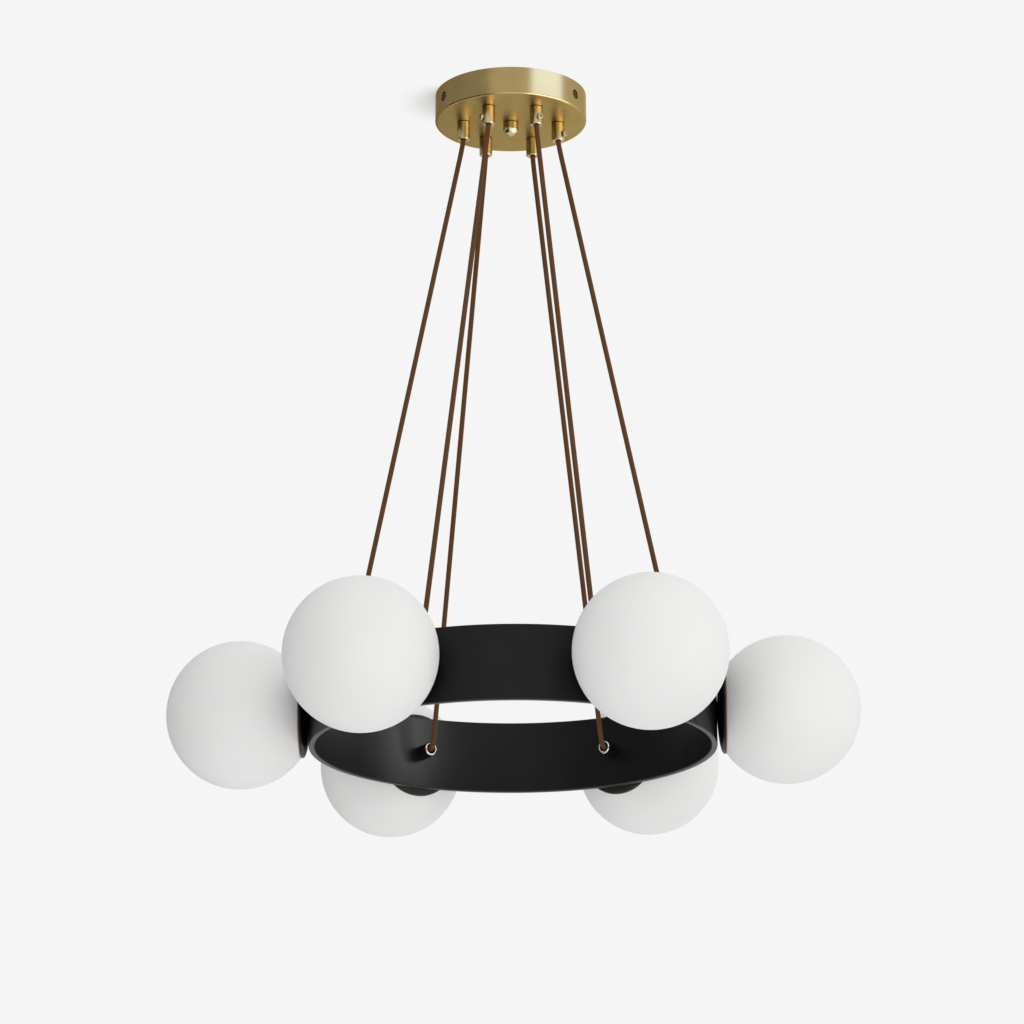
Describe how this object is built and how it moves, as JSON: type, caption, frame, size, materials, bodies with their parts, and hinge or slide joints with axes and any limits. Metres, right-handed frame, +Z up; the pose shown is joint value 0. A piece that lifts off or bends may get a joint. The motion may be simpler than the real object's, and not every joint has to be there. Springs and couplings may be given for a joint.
{
  "type": "ring chandelier",
  "caption": "Pendant chandelier: opal glass globes round a black hoop, hung on brown cloth cords from a brass ceiling canopy.",
  "frame": {"origin": "middle of the bracket's ceiling face, on the canopy's axis", "axes": "+Z up into the ceiling, +X along the first lamp's radius, -Y towards the picture's camera"},
  "size_m": [0.702, 0.6282, 0.747],
  "materials": {
    "brass": "satin brushed",
    "black_coat": "matte powder coat",
    "steel": "zinc plated",
    "silver": "bright plated",
    "opal_glass": "satin opal",
    "cord_cloth": "braided cloth sleeve",
    "washer_rubber": "brown silicone",
    "socket_ceramic": "glazed ceramic look",
    "bulb_glass": "frosted",
    "terminal_plastic": "nylon"
  },
  "bodies": {
    "ceiling": {"canopy": "brass", "ceiling_bracket": "steel", "lock_screws": "silver", "centre_stud": "steel", "centre_knob": "brass", "terminal_block": "terminal_plastic", "grip_nuts": "steel", "grip_screws": "silver", "cord_grip_1": "brass", "cord_grip_2": "brass", "cord_grip_3": "brass", "cord_grip_4": "brass", "cord_grip_5": "brass", "cord_grip_6": "brass", "cord_1": "cord_cloth", "cord_2": "cord_cloth", "cord_3": "cord_cloth", "cord_4": "cord_cloth", "cord_5": "cord_cloth", "cord_6": "cord_cloth"},
    "ring": {"ring_band": "black_coat", "eyelets": "silver", "holder_nuts": "steel", "cord_boss_1": "black_coat", "cord_boss_2": "black_coat", "cord_boss_3": "black_coat", "cord_boss_4": "black_coat", "cord_boss_5": "black_coat", "cord_boss_6": "black_coat", "globe_dish_1": "black_coat", "globe_dish_2": "black_coat", "globe_dish_3": "black_coat", "globe_dish_4": "black_coat", "globe_dish_5": "black_coat", "globe_dish_6": "black_coat", "lamp_socket_1": "socket_ceramic", "lamp_socket_2": "socket_ceramic", "lamp_socket_3": "socket_ceramic", "lamp_socket_4": "socket_ceramic", "lamp_socket_5": "socket_ceramic", "lamp_socket_6": "socket_ceramic", "bulb_1": "bulb_glass", "bulb_2": "bulb_glass", "bulb_3": "bulb_glass", "bulb_4": "bulb_glass", "bulb_5": "bulb_glass", "bulb_6": "bulb_glass"},
    "washer_1": {"globe_washer_1": "washer_rubber"},
    "globe_1": {"globe_1": "opal_glass"},
    "washer_2": {"globe_washer_2": "washer_rubber"},
    "globe_2": {"globe_2": "opal_glass"},
    "washer_3": {"globe_washer_3": "washer_rubber"},
    "globe_3": {"globe_3": "opal_glass"},
    "washer_4": {"globe_washer_4": "washer_rubber"},
    "globe_4": {"globe_4": "opal_glass"},
    "washer_5": {"globe_washer_5": "washer_rubber"},
    "globe_5": {"globe_5": "opal_glass"},
    "washer_6": {"globe_washer_6": "washer_rubber"},
    "globe_6": {"globe_6": "opal_glass"}
  },
  "joints": [
    {"name": "ring_lift", "type": "slide", "parent": "ceiling", "child": "ring", "axis": [0, 0, 1], "range_m": [0, 0.2], "deforming": ["cord_1", "cord_2", "cord_3", "cord_4", "cord_5", "cord_6"]},
    {"name": "globe_out_1", "type": "slide", "parent": "ring", "child": "washer_1", "axis": [1, 0, 0], "range_m": [0, 0.012]},
    {"name": "globe_turn_1", "type": "hinge", "parent": "washer_1", "child": "globe_1", "pos_m": [0.276, 0, -0.672], "axis": [1, 0, 0], "range_deg": [0, 1080]},
    {"name": "globe_out_2", "type": "slide", "parent": "ring", "child": "washer_2", "axis": [0.5, 0.866, 0], "range_m": [0, 0.012]},
    {"name": "globe_turn_2", "type": "hinge", "parent": "washer_2", "child": "globe_2", "pos_m": [0.138, 0.23902, -0.672], "axis": [0.5, 0.866, 0], "range_deg": [0, 1080]},
    {"name": "globe_out_3", "type": "slide", "parent": "ring", "child": "washer_3", "axis": [-0.5, 0.866, 0], "range_m": [0, 0.012]},
    {"name": "globe_turn_3", "type": "hinge", "parent": "washer_3", "child": "globe_3", "pos_m": [-0.138, 0.23902, -0.672], "axis": [-0.5, 0.866, 0], "range_deg": [0, 1080]},
    {"name": "globe_out_4", "type": "slide", "parent": "ring", "child": "washer_4", "axis": [-1, 0, 0], "range_m": [0, 0.012]},
    {"name": "globe_turn_4", "type": "hinge", "parent": "washer_4", "child": "globe_4", "pos_m": [-0.276, 0, -0.672], "axis": [-1, 0, 0], "range_deg": [0, 1080]},
    {"name": "globe_out_5", "type": "slide", "parent": "ring", "child": "washer_5", "axis": [-0.5, -0.866, 0], "range_m": [0, 0.012]},
    {"name": "globe_turn_5", "type": "hinge", "parent": "washer_5", "child": "globe_5", "pos_m": [-0.138, -0.23902, -0.672], "axis": [-0.5, -0.866, 0], "range_deg": [0, 1080]},
    {"name": "globe_out_6", "type": "slide", "parent": "ring", "child": "washer_6", "axis": [0.5, -0.866, 0], "range_m": [0, 0.012]},
    {"name": "globe_turn_6", "type": "hinge", "parent": "washer_6", "child": "globe_6", "pos_m": [0.138, -0.23902, -0.672], "axis": [0.5, -0.866, 0], "range_deg": [0, 1080]}
  ],
  "couplings": [
    {"joint": "globe_out_1", "follows": "globe_turn_1", "m_per_rad": 0.00063662},
    {"joint": "globe_out_2", "follows": "globe_turn_2", "m_per_rad": 0.00063662},
    {"joint": "globe_out_3", "follows": "globe_turn_3", "m_per_rad": 0.00063662},
    {"joint": "globe_out_4", "follows": "globe_turn_4", "m_per_rad": 0.00063662},
    {"joint": "globe_out_5", "follows": "globe_turn_5", "m_per_rad": 0.00063662},
    {"joint": "globe_out_6", "follows": "globe_turn_6", "m_per_rad": 0.00063662}
  ]
}
